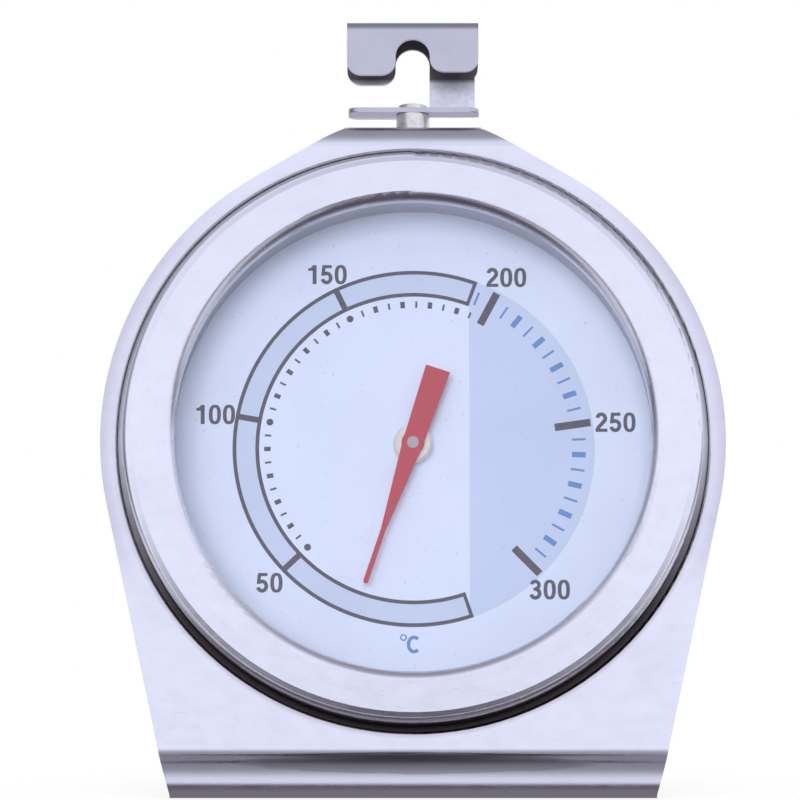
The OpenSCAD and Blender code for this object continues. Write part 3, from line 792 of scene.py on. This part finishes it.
def build_world():
    """A white room to the camera, and a studio of soft bright and dark bands to the steel."""
    world = bpy.data.worlds.new("studio")
    bpy.context.scene.world = world
    world.use_nodes = True
    tree = world.node_tree
    tree.nodes.clear()
    direction = add(tree, "TexCoord").outputs["Generated"]
    parts = add(tree, "SeparateXYZ", {"Vector": direction}).outputs
    level = remap(tree, parts["Z"], -1, 1, 0, 1)
    front_bands = [
        (0.00, (0.15, 0.14, 0.18)),
        (0.40, (0.10, 0.09, 0.12)),
        (0.44, (0.065, 0.055, 0.07)),
        (0.565, (0.06, 0.052, 0.07)),
        (0.600, (1.10, 1.12, 1.36)),
        (0.66, (1.06, 1.08, 1.32)),
        (0.74, (0.97, 0.99, 1.21)),
        (0.80, (0.88, 0.90, 1.10)),
        (0.86, (0.70, 0.71, 0.87)),
        (0.91, (0.52, 0.52, 0.64)),
        (0.957, (0.38, 0.37, 0.46)),
        (1.00, (0.33, 0.32, 0.40)),
    ]
    back_bands = [
        (0.00, (0.45, 0.45, 0.52)),
        (0.50, (0.75, 0.77, 0.92)),
        (0.64, (0.92, 0.94, 1.12)),
        (0.74, (0.72, 0.73, 0.88)),
        (0.82, (0.40, 0.39, 0.48)),
        (0.92, (0.34, 0.33, 0.41)),
        (1.00, (0.33, 0.32, 0.40)),
    ]
    behind = remap(tree, parts["Y"], 0.05, 0.35, 0, 1)
    room = mix_colour(tree, behind, ramp(tree, level, front_bands), ramp(tree, level, back_bands))
    side_shades = [(0.0, 0.30), (0.10, 0.42), (0.22, 1.0), (0.90, 1.0), (1.0, 0.85)]
    sides = ramp(tree, remap(tree, parts["X"], -1, 1, 0, 1), side_shades)
    room = mix_colour(tree, 1.0, room, sides, "MULTIPLY")
    seen_in_steel = add(tree, "Background", {"Color": room, "Strength": 1.0})
    soft = add(tree, "Background", {"Color": (0.80, 0.85, 1.0, 1), "Strength": 0.55})
    white = add(tree, "Background", {"Color": (1, 1, 1, 1), "Strength": 1.0})
    path = add(tree, "LightPath").outputs
    spread = math_node(tree, "MINIMUM", path["Diffuse Depth"], 1.0)
    lit = add(tree, "MixShader", {0: spread, 1: seen_in_steel.outputs[0], 2: soft.outputs[0]})
    seen = path["Is Camera Ray"]
    shown = add(tree, "MixShader", {0: seen, 1: lit.outputs[0], 2: white.outputs[0]})
    output = add(tree, "OutputWorld")
    tree.links.new(shown.outputs[0], output.inputs["Surface"])


def build_floor():
    """A plain pale floor, which fades to white with a painted contact shadow round the thermometer,
    and looks darker where steel mirrors it.
    """
    size = 4.0
    mesh = bpy.data.meshes.new("floor")
    corners = [(-size, -size, 0), (size, -size, 0), (size, size, 0), (-size, size, 0)]
    mesh.from_pydata(corners, [], [(0, 1, 2, 3)])
    floor = bpy.data.objects.new("floor", mesh)
    bpy.context.scene.collection.objects.link(floor)

    material = bpy.data.materials.new("floor_pale")
    material.use_nodes = True
    tree = material.node_tree
    tree.nodes.clear()
    place = add(tree, "TexCoord").outputs["Object"]
    parts = add(tree, "SeparateXYZ", {"Vector": place}).outputs
    mirrored = ramp(
        tree,
        remap(tree, parts["Y"], -0.06, 0.06, 0, 1),
        [
            (0.0, (0.085, 0.075, 0.10)),
            (0.27, (0.10, 0.09, 0.12)),
            (0.33, (0.24, 0.22, 0.27)),
            (0.62, (0.30, 0.29, 0.34)),
            (0.80, (0.62, 0.62, 0.74)),
        ],
    )
    aside = remap(tree, math_node(tree, "ABSOLUTE", parts["X"]), 0.05, 0.09, 0, 1)
    mirrored = mix_colour(tree, aside, mirrored, (0.72, 0.72, 0.86))
    path = add(tree, "LightPath").outputs
    spread = math_node(tree, "MINIMUM", path["Diffuse Depth"], 1.0)
    pale = add(tree, "Emission", {"Color": (0.80, 0.83, 0.95, 1), "Strength": 0.55})
    dark = add(tree, "Emission", {"Color": mirrored, "Strength": 1.0})
    # Painted contact shadow: the floor's white is darkened by ambient occlusion near the
    # thermometer
    open_air = add(tree, "AmbientOcclusion", {"Distance": 0.03}, samples=8).outputs["AO"]
    painted_contact_shadow = remap(tree, open_air, 0.0, 0.9, 0.82, 1.0)
    white = add(tree, "Emission", {"Color": painted_contact_shadow, "Strength": 1.0})
    lit = add(tree, "MixShader", {0: spread, 1: dark.outputs[0], 2: pale.outputs[0]})
    seen = path["Is Camera Ray"]
    shown = add(tree, "MixShader", {0: seen, 1: lit.outputs[0], 2: white.outputs[0]})
    output = add(tree, "OutputMaterial")
    tree.links.new(shown.outputs[0], output.inputs["Surface"])
    material.cycles.emission_sampling = "NONE"
    mesh.materials.append(material)


def area_light(name, place, target, size, power, colour):
    data = bpy.data.lights.new(name, "AREA")
    data.shape = "RECTANGLE"
    data.size, data.size_y = size
    data.energy = power
    data.color = colour
    light = bpy.data.objects.new(name, data)
    light.location = place
    light.rotation_euler = (Vector(target) - Vector(place)).to_track_quat("-Z", "Y").to_euler()
    light.visible_glossy = False
    light.visible_transmission = False
    bpy.context.scene.collection.objects.link(light)


def build_lights():
    middle = (0, 0, 0.04)
    cool = (0.88, 0.92, 1.0)
    area_light("front", (-0.12, -0.95, 0.30), middle, (0.6, 0.5), 7.3, cool)
    area_light("key", (-0.45, -0.45, 0.50), middle, (0.4, 0.3), 0.5, cool)
    area_light("back", (0.1, 0.55, 0.5), middle, (0.5, 0.4), 1.5, cool)


bpy.context.scene.view_settings.view_transform = "Standard"
build_camera()
build_world()
build_floor()
build_lights()
finish_cad_nodes()
soften("hook_bracket", "hook_sheet", 0.12)
soften("pointer", "needle_blade", 0.04)
print_dial()
